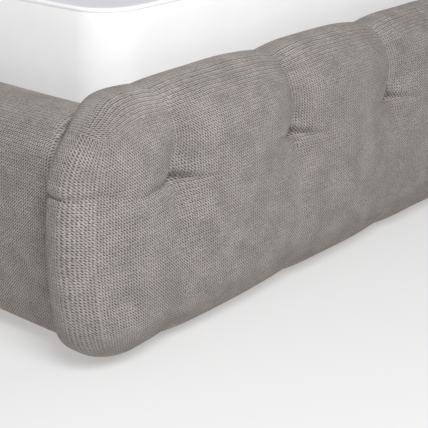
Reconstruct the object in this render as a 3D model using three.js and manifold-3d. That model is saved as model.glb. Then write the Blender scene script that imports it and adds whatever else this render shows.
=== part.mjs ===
// An upholstered double bed: a padded, blind-tufted foot panel and headboard,
// plain padded side rails, the timber and steel frame inside them, a slatted
// base that lifts out, and a mattress.
//
// Millimetres, +Z up. The origin is on the floor at the middle of the bed,
// +X is to the right for someone standing at the foot and facing the head,
// and +Y runs from the foot to the head.
import * as THREE from 'three';
import { RoundedBoxGeometry } from 'three/addons/geometries/RoundedBoxGeometry.js';
import { mergeVertices } from 'three/addons/utils/BufferGeometryUtils.js';
import Module from 'manifold-3d';

const wasm = await Module();
wasm.setup();

// ---- driving dimensions ----

const GAP = 0.3; // clearance between pieces that touch

const MATTRESS_WIDTH = 1600;
const MATTRESS_LENGTH = 2000;
const MATTRESS_TOP = 456;
const MATTRESS_CORNER = 60;
const MATTRESS_EDGE = 10; // small round along its top and bottom edges

const PANEL_HALF_WIDTH = 973; // foot panel and headboard, over the padding
const PANEL_BOTTOM = 13; // the padding stops just above the floor
const PAD_ROUND = 55;
const FRAME_HALF_WIDTH = 905; // timber frame inside a padded panel

const FOOT_FACE_Y = -1143.5;
const FOOT_DEPTH = 127;
const FOOT_TOP = 373;
const FOOT_PADDING = 50; // padding in front of the frame
const FOOT_TOP_PADDING = 62; // padding on top of the frame

const HEAD_FACE_Y = 993.5;
const HEAD_DEPTH = 150;
const HEAD_TOP = 1100;
const HEAD_PADDING = 60;
const HEAD_TOP_PADDING = 60;

const RAIL_OUTER_X = 924;
const RAIL_INNER_X = 808;
const RAIL_TOP = 341;
const RAIL_FLANGE_BOTTOM = 222; // where the inner padding of a rail ends
const CORE_INNER_X = 818;
const CORE_OUTER_X = 872;
const CORE_BOTTOM = 30;
const CORE_TOP = 300;
const CORE_WALL = 14;

const BOARD = 12; // plywood face boards
const TIMBER_DEPTH = 44; // deep side of the panel timbers
const RAIL_TIMBER = 45; // high side of the foot panel's long timbers
const POST_INNER_X = 725;
const POST_OUTER_X = 830;
const CENTRE_POST_HALF = 48;
const BATTEN_DEPTH = 25;
const BATTEN_HEIGHT = 95;
const BATTEN_COUNT = 4;
const BATTEN_LOWEST = 70;
const BATTEN_HIGHEST = 945;
const HEAD_FRAME_BOTTOM = 35;
const BACK_COVER = 8;

const SLAT_SUPPORT = 198; // top of the ledges and of the centre beam
const LEDGE_INNER_X = 776;
const LEDGE_HEIGHT = 40;
const SLAT_COUNT = 12;
const SLAT_PITCH = 172;
const FIRST_SLAT_Y = -957;
const SLAT_WIDTH = 98;
const SLAT_THICKNESS = 18;
const SLAT_HALF_LENGTH = 802;
const TAPE_X = 400;
const TAPE_WIDTH = 30;
const TAPE_THICKNESS = 1.2;

const BRACKET_STEEL = 4;
const BRACKET_BOTTOM = 85;
const BRACKET_TOP = 155;
const BRACKET_LEG = 80;
const BOLT_X = 765;
const BOLT_HEIGHTS = [102, 138];
const BOLT_RADIUS = 4;
const BOLT_HEAD_RADIUS = 7;
const BOLT_HEAD_HEIGHT = 4.4;
const BOLT_HOLE_RADIUS = 4.6;
const FOOT_BOLT_LENGTH = 35;
const HEAD_BOLT_LENGTH = 62;

const FOOT_BLOCK_X = 775;
const FOOT_BLOCK_HEIGHT = 34.7;
const BEAM_HALF_WIDTH = 30;
const BEAM_HEIGHT = 40;
const BEAM_WALL = 2.5;
const HANGER_STEEL = 3;
const HANGER_DEPTH = 46;
const HANGER_BOTTOM = 120;
const LEG_Y = 400;

// ---- finishes ----

const finish = (color, roughness, metalness = 0) => ({ color, roughness, metalness });
const UPHOLSTERY = finish(0x968e88, 0.95);
const LINING = finish(0x3a3735, 0.95);
const PLYWOOD = finish(0xb8936a, 0.7);
const PINE = finish(0xd2b384, 0.65);
const BLACK_STEEL = finish(0x26272a, 0.5, 0.6);
const ZINC = finish(0xb9bcc0, 0.35, 0.9);
const BLACK_PLASTIC = finish(0x1d1d1f, 0.6);
const WEBBING = finish(0x2b2b2d, 0.9);
const TICKING = finish(0xe9e9ee, 0.9);

// ---- shape helpers ----

/** A position-only geometry with its shared corners merged. */
function welded(geometry) {
  const plain = geometry.clone();
  for (const name of ['normal', 'uv']) plain.deleteAttribute(name);
  return mergeVertices(plain, 1e-4);
}

function toSolid(geometry) {
  const plain = welded(geometry);
  const vertProperties = new Float32Array(plain.attributes.position.array);
  const triVerts = new Uint32Array(plain.index.array);
  return new wasm.Manifold(new wasm.Mesh({ numProp: 3, vertProperties, triVerts }));
}

function toGeometry(solid) {
  const mesh = solid.getMesh();
  const geometry = new THREE.BufferGeometry();
  geometry.setAttribute('position', new THREE.BufferAttribute(mesh.vertProperties, 3));
  geometry.setIndex(new THREE.BufferAttribute(mesh.triVerts, 1));
  const flat = geometry.toNonIndexed();
  flat.computeVertexNormals();
  return flat;
}

function cutAway(geometry, ...cutters) {
  const cut = (solid, cutter) => solid.subtract(toSolid(cutter));
  return toGeometry(cutters.reduce(cut, toSolid(geometry)));
}

function joined(geometry, ...others) {
  const join = (solid, other) => solid.add(toSolid(other));
  return toGeometry(others.reduce(join, toSolid(geometry)));
}

/** A box between two limits on each axis; the limits can come in either order. */
function block([xa, xb], [ya, yb], [za, zb]) {
  const box = new THREE.BoxGeometry(Math.abs(xb - xa), Math.abs(yb - ya), Math.abs(zb - za));
  return box.translate((xa + xb) / 2, (ya + yb) / 2, (za + zb) / 2);
}

function roundedBlock([xa, xb], [ya, yb], [za, zb], radius) {
  const box = new RoundedBoxGeometry(xb - xa, yb - ya, zb - za, 4, radius);
  return box.translate((xa + xb) / 2, (ya + yb) / 2, (za + zb) / 2);
}

/** A closed outline from corners [x, y, radius], with each corner rounded. */
function roundedOutline(corners) {
  const points = corners.map(([x, y]) => new THREE.Vector2(x, y));
  const outline = new THREE.Shape();
  corners.forEach(([, , radius], i) => {
    const corner = points[i];
    const before = points[(i + points.length - 1) % points.length];
    const after = points[(i + 1) % points.length];
    const start = corner.clone().add(before.clone().sub(corner).setLength(radius));
    const end = corner.clone().add(after.clone().sub(corner).setLength(radius));
    if (i === 0) outline.moveTo(start.x, start.y);
    else outline.lineTo(start.x, start.y);
    if (radius > 0) outline.quadraticCurveTo(corner.x, corner.y, end.x, end.y);
  });
  return outline;
}

/** An outline drawn in x and z, pulled along y from ya to yb. */
function extrudeAlongY(outline, ya, yb) {
  const settings = { depth: yb - ya, bevelEnabled: false, curveSegments: 6 };
  const solid = new THREE.ExtrudeGeometry(outline, settings);
  return solid.rotateX(Math.PI / 2).translate(0, yb, 0);
}

function rectangle(xa, xb, za, zb, PathClass = THREE.Shape) {
  const corners = [[xa, za], [xb, za], [xb, zb], [xa, zb]];
  return new PathClass(corners.map(([x, z]) => new THREE.Vector2(x, z)));
}

/** A rectangular tube along y, open at both ends. */
function tubeAlongY([xa, xb], [za, zb], wall, ya, yb) {
  const outline = rectangle(xa, xb, za, zb);
  outline.holes.push(rectangle(xa + wall, xb - wall, za + wall, zb - wall, THREE.Path));
  return extrudeAlongY(outline, ya, yb);
}

/** A turned piece about Z from [radius, height] points, standing at x, y. */
function turned(points, x, y, segments = 24) {
  const profile = points.map(([radius, height]) => new THREE.Vector2(radius, height));
  const solid = new THREE.LatheGeometry(profile, segments);
  return solid.rotateX(Math.PI / 2).translate(x, y, 0);
}

/** A round hole through y from ya to yb. */
function holeAlongY(x, ya, yb, z) {
  const hole = new THREE.CylinderGeometry(BOLT_HOLE_RADIUS, BOLT_HOLE_RADIUS, Math.abs(yb - ya), 16);
  return hole.translate(x, (ya + yb) / 2, z);
}

const bed = new THREE.Group();

function add(name, geometry, look) {
  const mesh = new THREE.Mesh(geometry, new THREE.MeshStandardMaterial(look));
  mesh.name = name;
  bed.add(mesh);
}

const SIDES = { left: -1, right: 1 };
const eachSide = (build) => Object.entries(SIDES).forEach(([name, side]) => build(name, side));
const boltHoles = (side, ya, yb) => BOLT_HEIGHTS.map((z) => holeAlongY(side * BOLT_X, ya, yb, z));

// ---- foot panel: tufted padding over a timber frame ----

const footBoardY = FOOT_FACE_Y + FOOT_PADDING + GAP;
const footTimberY = footBoardY + BOARD;
const footTimberBackY = footTimberY + TIMBER_DEPTH;
const footBackY = FOOT_FACE_Y + FOOT_DEPTH;
const footFrameTop = FOOT_TOP - FOOT_TOP_PADDING;
const footRailBottom = FOOT_BLOCK_HEIGHT + GAP;
const frameX = [-FRAME_HALF_WIDTH, FRAME_HALF_WIDTH];
const padX = [-PANEL_HALF_WIDTH, PANEL_HALF_WIDTH];
const insideX = FRAME_HALF_WIDTH + GAP;

function footPad() {
  const outer = roundedBlock(padX, [FOOT_FACE_Y, footBackY], [PANEL_BOTTOM, FOOT_TOP], PAD_ROUND);
  const pocketY = [FOOT_FACE_Y + FOOT_PADDING, footBackY + 1];
  const pocket = block([-insideX, insideX], pocketY, [PANEL_BOTTOM - 1, footFrameTop + GAP]);
  add('foot_pad', cutAway(outer, pocket), UPHOLSTERY);
}

function footFrame() {
  const boardY = [footBoardY, footTimberY - GAP];
  const timberY = [footTimberY, footTimberBackY];
  const railTopBottom = footFrameTop - RAIL_TIMBER;
  const lowRailTop = footRailBottom + RAIL_TIMBER;
  const postZ = [lowRailTop + GAP, railTopBottom - GAP];
  add('foot_front_board', block(frameX, boardY, [footRailBottom, footFrameTop]), PLYWOOD);
  add('foot_top_rail', block(frameX, timberY, [railTopBottom, footFrameTop]), PINE);
  add('foot_bottom_rail', block(frameX, timberY, [footRailBottom, lowRailTop]), PINE);
  const centreX = [-CENTRE_POST_HALF, CENTRE_POST_HALF];
  add('foot_post_centre', block(centreX, timberY, postZ), PINE);
  eachSide((name, side) => {
    const post = block([side * POST_INNER_X, side * POST_OUTER_X], timberY, postZ);
    const holes = boltHoles(side, footTimberY - 1, footTimberBackY + 1);
    add(`foot_post_${name}`, cutAway(post, ...holes), PINE);
  });
}

function footInnerCover() {
  const coverX = RAIL_INNER_X - 4;
  const coverY = [footTimberBackY + GAP, footBackY];
  const coverZ = [SLAT_SUPPORT + 7, footFrameTop - 1];
  add('foot_inner_cover', block([-coverX, coverX], coverY, coverZ), UPHOLSTERY);
}

// ---- headboard: the same padding on a tall frame ----

const headBoardY = HEAD_FACE_Y + HEAD_PADDING + GAP;
const headBattenY = headBoardY + BOARD;
const headPostY = headBattenY + BATTEN_DEPTH + GAP;
const headBackY = HEAD_FACE_Y + HEAD_DEPTH;
const headCoverY = headBackY - 2 - BACK_COVER;
const headFrameTop = HEAD_TOP - HEAD_TOP_PADDING;

function headPad() {
  const outer = roundedBlock(padX, [HEAD_FACE_Y, headBackY], [PANEL_BOTTOM, HEAD_TOP], PAD_ROUND);
  const pocketY = [HEAD_FACE_Y + HEAD_PADDING, headBackY + 1];
  const pocket = block([-insideX, insideX], pocketY, [PANEL_BOTTOM - 1, headFrameTop + GAP]);
  const doorX = CORE_OUTER_X + GAP;
  const doorY = [HEAD_FACE_Y - 1, HEAD_FACE_Y + HEAD_PADDING + 1];
  const door = block([-doorX, doorX], doorY, [PANEL_BOTTOM - 1, CORE_TOP + GAP]);
  add('head_pad', cutAway(outer, pocket, door), UPHOLSTERY);
}

function headFrame() {
  const holesFor = (from, to) => [...boltHoles(-1, from, to), ...boltHoles(1, from, to)];
  const boardY = [headBoardY, headBattenY - GAP];
  const board = block(frameX, boardY, [HEAD_FRAME_BOTTOM, headFrameTop]);
  add('head_front_board', cutAway(board, ...holesFor(headBoardY - 1, headBattenY)), PLYWOOD);

  const battenBackY = headBattenY + BATTEN_DEPTH;
  const pitch = (BATTEN_HIGHEST - BATTEN_LOWEST) / (BATTEN_COUNT - 1);
  for (let i = 0; i < BATTEN_COUNT; i += 1) {
    const bottom = BATTEN_LOWEST + i * pitch;
    const batten = block(frameX, [headBattenY, battenBackY], [bottom, bottom + BATTEN_HEIGHT]);
    const holes = i === 0 ? holesFor(headBattenY - 1, battenBackY + 1) : [];
    add(`head_batten_${i + 1}`, cutAway(batten, ...holes), PINE);
  }

  eachSide((name, side) => {
    const postX = [side * POST_INNER_X, side * POST_OUTER_X];
    const post = block(postX, [headPostY, headCoverY - GAP], [HEAD_FRAME_BOTTOM, headFrameTop]);
    const holes = boltHoles(side, headPostY - 1, headPostY + 26);
    add(`head_post_${name}`, cutAway(post, ...holes), PINE);
  });
}

function headBackCover() {
  const coverX = FRAME_HALF_WIDTH - 4;
  const coverY = [headCoverY, headCoverY + BACK_COVER];
  const coverZ = [HEAD_FRAME_BOTTOM, headFrameTop - 4];
  add('head_back_cover', block([-coverX, coverX], coverY, coverZ), LINING);
}

// ---- side rails: a hollow timber beam with padding folded over it ----

const coreStartY = footTimberBackY + GAP;
const coreEndY = headBoardY - GAP;

function sideRail(name, side) {
  const coreX = [side * CORE_INNER_X, side * CORE_OUTER_X].sort((a, b) => a - b);
  const core = tubeAlongY(coreX, [CORE_BOTTOM, CORE_TOP], CORE_WALL, coreStartY, coreEndY);
  add(`rail_core_${name}`, core, PLYWOOD);

  const corners = [
    [CORE_OUTER_X + GAP, PANEL_BOTTOM, 0],
    [RAIL_OUTER_X, PANEL_BOTTOM, 34],
    [RAIL_OUTER_X, RAIL_TOP, 60],
    [RAIL_INNER_X, RAIL_TOP, 30],
    [RAIL_INNER_X, RAIL_FLANGE_BOTTOM, 0],
    [CORE_INNER_X - GAP, RAIL_FLANGE_BOTTOM, 0],
    [CORE_INNER_X - GAP, CORE_TOP + GAP, 0],
    [CORE_OUTER_X + GAP, CORE_TOP + GAP, 0],
  ].map(([x, z, radius]) => [side * x, z, radius]);
  const pad = extrudeAlongY(roundedOutline(corners), footBackY + 1, HEAD_FACE_Y - 1);
  add(`rail_pad_${name}`, pad, UPHOLSTERY);

  const ledgeX = [side * LEDGE_INNER_X, side * (CORE_INNER_X - GAP)];
  const ledgeY = [coreStartY + 5, coreEndY - 5];
  const ledge = block(ledgeX, ledgeY, [SLAT_SUPPORT - LEDGE_HEIGHT, SLAT_SUPPORT]);
  add(`rail_ledge_${name}`, ledge, PINE);
}

// ---- corner brackets and their bolts ----

const bracketX = CORE_INNER_X - GAP;

/** An angle of steel: one plate on the rail, one across the panel's frame. */
function cornerBracket(name, side, faceY, inward) {
  const bracketZ = [BRACKET_BOTTOM, BRACKET_TOP];
  const plateY = [faceY, faceY + inward * BRACKET_STEEL];
  const railPlateX = [side * (bracketX - BRACKET_STEEL), side * bracketX];
  const railPlate = block(railPlateX, [faceY, faceY + inward * BRACKET_LEG], bracketZ);
  const endPlate = block([side * (bracketX - BRACKET_LEG), side * bracketX], plateY, bracketZ);
  const holes = boltHoles(side, faceY - inward, faceY + inward * (BRACKET_STEEL + 1));
  add(name, cutAway(joined(railPlate, endPlate), ...holes), BLACK_STEEL);
}

/** A bolt along y with a round socket head; its shank points away from inward. */
function bolt(name, side, faceY, inward, length, z) {
  const head = length + BOLT_HEAD_HEIGHT;
  const outline = [
    [0, 0], [BOLT_RADIUS, 0], [BOLT_RADIUS, length], [BOLT_HEAD_RADIUS, length],
    [BOLT_HEAD_RADIUS, head - 1], [BOLT_HEAD_RADIUS - 1, head],
    [BOLT_RADIUS * 0.7, head], [BOLT_RADIUS * 0.7, head - 2.5], [0, head - 2.5],
  ];
  const profile = outline.map(([radius, along]) => new THREE.Vector2(radius, along));
  const solid = new THREE.LatheGeometry(profile, 16);
  solid.translate(0, BRACKET_STEEL + GAP - length, 0);
  if (inward < 0) solid.rotateX(Math.PI);
  add(name, solid.translate(side * BOLT_X, faceY, z), ZINC);
}

function cornerJoints() {
  const ends = [
    { end: 'foot', faceY: coreStartY, inward: 1, length: FOOT_BOLT_LENGTH },
    { end: 'head', faceY: headBoardY - GAP, inward: -1, length: HEAD_BOLT_LENGTH },
  ];
  for (const { end, faceY, inward, length } of ends) {
    eachSide((name, side) => {
      cornerBracket(`bracket_${end}_${name}`, side, faceY, inward);
      BOLT_HEIGHTS.forEach((z, i) => {
        const level = ['lower', 'upper'][i];
        bolt(`bolt_${end}_${name}_${level}`, side, faceY, inward, length, z);
      });
    });
  }
}

// ---- centre beam, its hangers and legs, and the four corner feet ----

function hanger(name, faceY, inward) {
  const inner = BEAM_HALF_WIDTH + GAP;
  const outer = inner + HANGER_STEEL;
  const cradleBottom = SLAT_SUPPORT - BEAM_HEIGHT - GAP;
  const backY = [faceY, faceY + inward * HANGER_STEEL];
  const armY = [faceY, faceY + inward * HANGER_DEPTH];
  const floorZ = [cradleBottom - HANGER_STEEL, cradleBottom];
  const armZ = [cradleBottom - HANGER_STEEL, SLAT_SUPPORT - 5];
  const plate = block([-CENTRE_POST_HALF + 2, CENTRE_POST_HALF - 2], backY, [HANGER_BOTTOM, armZ[1]]);
  const floor = block([-outer, outer], armY, floorZ);
  const arms = [-1, 1].map((side) => block([side * inner, side * outer], armY, armZ));
  add(name, joined(plate, floor, ...arms), BLACK_STEEL);
}

function centreBeam() {
  const headFaceY = headBoardY - GAP;
  hanger('beam_hanger_foot', coreStartY, 1);
  hanger('beam_hanger_head', headFaceY, -1);
  const beamX = [-BEAM_HALF_WIDTH, BEAM_HALF_WIDTH];
  const beamZ = [SLAT_SUPPORT - BEAM_HEIGHT, SLAT_SUPPORT];
  const clear = HANGER_STEEL + GAP;
  const beam = tubeAlongY(beamX, beamZ, BEAM_WALL, coreStartY + clear, headFaceY - clear);
  add('centre_beam', beam, BLACK_STEEL);
}

function centreLegs() {
  const top = SLAT_SUPPORT - BEAM_HEIGHT - GAP;
  const profile = [[0, 0], [28, 0], [30, 3], [30, 10], [21, 16], [19, 22], [19, top], [0, top]];
  add('centre_leg_foot', turned(profile, 0, -LEG_Y), BLACK_STEEL);
  add('centre_leg_head', turned(profile, 0, LEG_Y), BLACK_STEEL);
}

function cornerFeet() {
  const top = FOOT_BLOCK_HEIGHT;
  const profile = [[0, 0], [22, 0], [24, 2], [29, top - 3], [29, top], [0, top]];
  const footY = (footTimberY + footTimberBackY) / 2;
  const headY = (headPostY + headCoverY) / 2;
  eachSide((name, side) => {
    add(`corner_foot_front_${name}`, turned(profile, side * FOOT_BLOCK_X, footY), BLACK_PLASTIC);
    add(`corner_foot_back_${name}`, turned(profile, side * FOOT_BLOCK_X, headY), BLACK_PLASTIC);
  });
}

// ---- slatted base and mattress ----

const slatBottom = SLAT_SUPPORT + GAP;
const slatTop = slatBottom + SLAT_THICKNESS;

function slattedBase() {
  for (let i = 0; i < SLAT_COUNT; i += 1) {
    const middle = FIRST_SLAT_Y + i * SLAT_PITCH;
    const slatY = [middle - SLAT_WIDTH / 2, middle + SLAT_WIDTH / 2];
    const name = `slat_${String(i + 1).padStart(2, '0')}`;
    add(name, block([-SLAT_HALF_LENGTH, SLAT_HALF_LENGTH], slatY, [slatBottom, slatTop]), PINE);
  }
  const firstY = FIRST_SLAT_Y - SLAT_WIDTH / 2;
  const lastY = FIRST_SLAT_Y + (SLAT_COUNT - 1) * SLAT_PITCH + SLAT_WIDTH / 2;
  eachSide((name, side) => {
    const tapeX = [side * TAPE_X - TAPE_WIDTH / 2, side * TAPE_X + TAPE_WIDTH / 2];
    const tapeZ = [slatBottom - GAP - TAPE_THICKNESS, slatBottom - GAP];
    add(`slat_tape_${name}`, block(tapeX, [firstY, lastY], tapeZ), WEBBING);
  });
}

function mattress() {
  const halfWidth = MATTRESS_WIDTH / 2 - MATTRESS_EDGE;
  const footEnd = footBackY + 5 + MATTRESS_EDGE;
  const headEnd = footEnd + MATTRESS_LENGTH - 2 * MATTRESS_EDGE;
  const corner = MATTRESS_CORNER - MATTRESS_EDGE;
  const outline = roundedOutline([
    [-halfWidth, footEnd, corner], [halfWidth, footEnd, corner],
    [halfWidth, headEnd, corner], [-halfWidth, headEnd, corner],
  ]);
  const bottom = slatTop + GAP;
  const settings = {
    depth: MATTRESS_TOP - bottom - 2 * MATTRESS_EDGE,
    bevelThickness: MATTRESS_EDGE,
    bevelSize: MATTRESS_EDGE,
    bevelSegments: 3,
    curveSegments: 8,
  };
  const solid = new THREE.ExtrudeGeometry(outline, settings);
  add('mattress', solid.translate(0, 0, bottom + MATTRESS_EDGE), TICKING);
}

// ---- assembly ----

footPad();
footFrame();
footInnerCover();
headPad();
headFrame();
headBackCover();
eachSide(sideRail);
cornerJoints();
centreBeam();
centreLegs();
cornerFeet();
slattedBase();
mattress();

export default bed;
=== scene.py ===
"""Looks of an upholstered bed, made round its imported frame.

Everything is in metres in the frame's own axes: +Z up, +Y from the foot panel to the headboard, the origin
on the floor at the middle of the bed.
"""

from __future__ import annotations

import logging
import math
from dataclasses import dataclass, field
from enum import Enum

import bmesh
import bpy
import numpy as np
from mathutils import Matrix, Vector


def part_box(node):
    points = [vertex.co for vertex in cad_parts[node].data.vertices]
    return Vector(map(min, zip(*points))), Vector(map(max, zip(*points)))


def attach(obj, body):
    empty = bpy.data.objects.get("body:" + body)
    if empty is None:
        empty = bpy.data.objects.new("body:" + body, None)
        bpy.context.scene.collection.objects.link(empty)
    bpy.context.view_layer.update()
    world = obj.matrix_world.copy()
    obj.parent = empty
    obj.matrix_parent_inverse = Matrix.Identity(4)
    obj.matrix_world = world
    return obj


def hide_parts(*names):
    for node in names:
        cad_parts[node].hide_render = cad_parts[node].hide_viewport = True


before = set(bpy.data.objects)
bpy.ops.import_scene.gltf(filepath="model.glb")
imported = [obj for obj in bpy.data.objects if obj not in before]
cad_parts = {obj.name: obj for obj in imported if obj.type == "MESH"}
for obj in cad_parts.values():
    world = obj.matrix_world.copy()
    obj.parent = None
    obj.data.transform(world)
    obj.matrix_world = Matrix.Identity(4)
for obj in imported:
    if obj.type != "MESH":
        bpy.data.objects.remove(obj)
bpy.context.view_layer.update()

LOG = logging.getLogger("bed")
MM = 0.001
TINY = 1e-9

Corner = tuple[float, float, float]
Colour = tuple[float, float, float]
Table = tuple[tuple[float, float], ...]


class Body(str, Enum):
    """The moving bodies of the frame."""

    BEDSTEAD = "bedstead"
    SLATTED_BASE = "slatted_base"
    LOOSE_MATTRESS = "loose_mattress"


class Slot(str, Enum):
    """The record's material slots."""

    UPHOLSTERY = "upholstery"
    LINING = "lining"
    TICKING = "ticking"
    PLYWOOD = "plywood"
    PINE = "pine"
    SLAT_WOOD = "slat_wood"
    WEBBING = "webbing"
    BLACK_STEEL = "black_steel"
    ZINC = "zinc"
    FOOT_PLASTIC = "foot_plastic"


# ---------------------------------------------------------------- finishes


class Graph:
    """Adds and links shader nodes of one material with little writing."""

    def __init__(self, name: str) -> None:
        """Starts an empty node material.

        Args:
            name: The material's name.
        """
        self.material = bpy.data.materials.new(name)
        self.material.use_nodes = True
        self.tree = self.material.node_tree
        self.tree.nodes.clear()
        output = self.tree.nodes.new("ShaderNodeOutputMaterial")
        self.shader = self.tree.nodes.new("ShaderNodeBsdfPrincipled")
        self.tree.links.new(self.shader.outputs[0], output.inputs[0])

    def feed(self, socket: bpy.types.NodeSocket, value: object) -> None:
        """Links value to socket if it is a socket, or else sets it as a constant."""
        if isinstance(value, bpy.types.NodeSocket):
            self.tree.links.new(value, socket)
        else:
            socket.default_value = value

    def cloth_coordinates(self) -> bpy.types.NodeSocket:
        """Gives the surface's coordinates along the cloth, in metres."""
        node = self.tree.nodes.new("ShaderNodeUVMap")
        node.uv_map = "cloth"
        return node.outputs[0]

    def object_coordinates(self) -> bpy.types.NodeSocket:
        """Gives the point in the object's own frame, in metres."""
        return self.tree.nodes.new("ShaderNodeTexCoord").outputs["Object"]

    def math(self, operation: str, a: object, b: object = 0.0, c: object = 0.0) -> bpy.types.NodeSocket:
        """Adds a math node and gives its result."""
        node = self.tree.nodes.new("ShaderNodeMath")
        node.operation = operation
        for socket, value in zip(node.inputs, (a, b, c)):
            self.feed(socket, value)
        return node.outputs[0]

    def split(self, vector: bpy.types.NodeSocket) -> list[bpy.types.NodeSocket]:
        """Gives the three parts of a vector."""
        node = self.tree.nodes.new("ShaderNodeSeparateXYZ")
        self.feed(node.inputs[0], vector)
        return list(node.outputs)

    def scaled(self, vector: bpy.types.NodeSocket, by: Corner) -> bpy.types.NodeSocket:
        """Multiplies a vector part by part."""
        node = self.tree.nodes.new("ShaderNodeMapping")
        self.feed(node.inputs["Vector"], vector)
        node.inputs["Scale"].default_value = by
        return node.outputs[0]

    def noise(self, vector: bpy.types.NodeSocket, scale: float, detail: float = 2.0,
              roughness: float = 0.5) -> bpy.types.NodeSocket:
        """Adds a noise texture and gives its grey value, about 0.5 on average."""
        node = self.tree.nodes.new("ShaderNodeTexNoise")
        self.feed(node.inputs["Vector"], vector)
        node.inputs["Scale"].default_value = scale
        node.inputs["Detail"].default_value = detail
        node.inputs["Roughness"].default_value = roughness
        return node.outputs[0]

    def wave(self, phase: bpy.types.NodeSocket, amount: float, start: float,
             base: object) -> bpy.types.NodeSocket:
        """Adds a cosine of a phase, in radians, to a base value."""
        cosine = self.math("COSINE", self.math("ADD", phase, start))
        return self.math("MULTIPLY_ADD", cosine, amount, base)

    def nudged(self, vector: bpy.types.NodeSocket, scale: float, amount: float) -> bpy.types.NodeSocket:
        """Shifts a vector by a coloured noise of that scale, up to about half of amount each way."""
        noise = self.tree.nodes.new("ShaderNodeTexNoise")
        self.feed(noise.inputs["Vector"], vector)
        noise.inputs["Scale"].default_value = scale
        centred = self.tree.nodes.new("ShaderNodeVectorMath")
        centred.operation = "SUBTRACT"
        self.feed(centred.inputs[0], noise.outputs["Color"])
        centred.inputs[1].default_value = (0.5, 0.5, 0.5)
        added = self.tree.nodes.new("ShaderNodeVectorMath")
        added.operation = "MULTIPLY_ADD"
        self.feed(added.inputs[0], centred.outputs[0])
        added.inputs[1].default_value = (amount, amount, amount)
        self.feed(added.inputs[2], vector)
        return added.outputs[0]

    def ranged(self, value: object, low: float, high: float, to_low: float = 0.0,
               to_high: float = 1.0) -> bpy.types.NodeSocket:
        """Maps a value from one range to another, smoothly and clamped."""
        node = self.tree.nodes.new("ShaderNodeMapRange")
        node.interpolation_type = "SMOOTHSTEP"
        for socket, number in zip(node.inputs, (value, low, high, to_low, to_high)):
            self.feed(socket, number)
        return node.outputs[0]

    def mixed(self, share: object, first: object, second: object,
              mode: str = "MIX") -> bpy.types.NodeSocket:
        """Mixes two colours."""
        node = self.tree.nodes.new("ShaderNodeMix")
        node.data_type = "RGBA"
        node.blend_type = mode
        self.feed(node.inputs[0], share)
        self.feed(node.inputs[6], (*first, 1.0) if isinstance(first, tuple) else first)
        self.feed(node.inputs[7], (*second, 1.0) if isinstance(second, tuple) else second)
        return node.outputs[2]

    def grey(self, value: bpy.types.NodeSocket) -> bpy.types.NodeSocket:
        """Makes a colour whose three parts are all that value."""
        node = self.tree.nodes.new("ShaderNodeCombineColor")
        for socket in node.inputs:
            self.feed(socket, value)
        return node.outputs[0]

    def bump(self, height: bpy.types.NodeSocket, distance: float,
             strength: float = 1.0) -> bpy.types.NodeSocket:
        """Turns a height from 0 to 1 into a normal, for relief of that depth in metres."""
        node = self.tree.nodes.new("ShaderNodeBump")
        node.inputs["Strength"].default_value = strength
        node.inputs["Distance"].default_value = distance
        self.feed(node.inputs["Height"], height)
        return node.outputs[0]

    def finish(self, colour: object, roughness: object, normal: bpy.types.NodeSocket | None = None,
               **constants: float) -> bpy.types.Material:
        """Feeds the shader and gives the material.

        Args:
            colour: Base colour, as a socket or a colour.
            roughness: Roughness, as a socket or a number.
            normal: Normal, if the surface has relief.
            **constants: Numbers for other sockets, with underscores for spaces in their names.

        Returns:
            The finished material.
        """
        inputs = self.shader.inputs
        self.feed(inputs["Base Color"], (*colour, 1.0) if isinstance(colour, tuple) else colour)
        self.feed(inputs["Roughness"], roughness)
        if normal is not None:
            self.feed(inputs["Normal"], normal)
        for name, value in constants.items():
            inputs[name.replace("_", " ")].default_value = value
        return self.material


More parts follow.
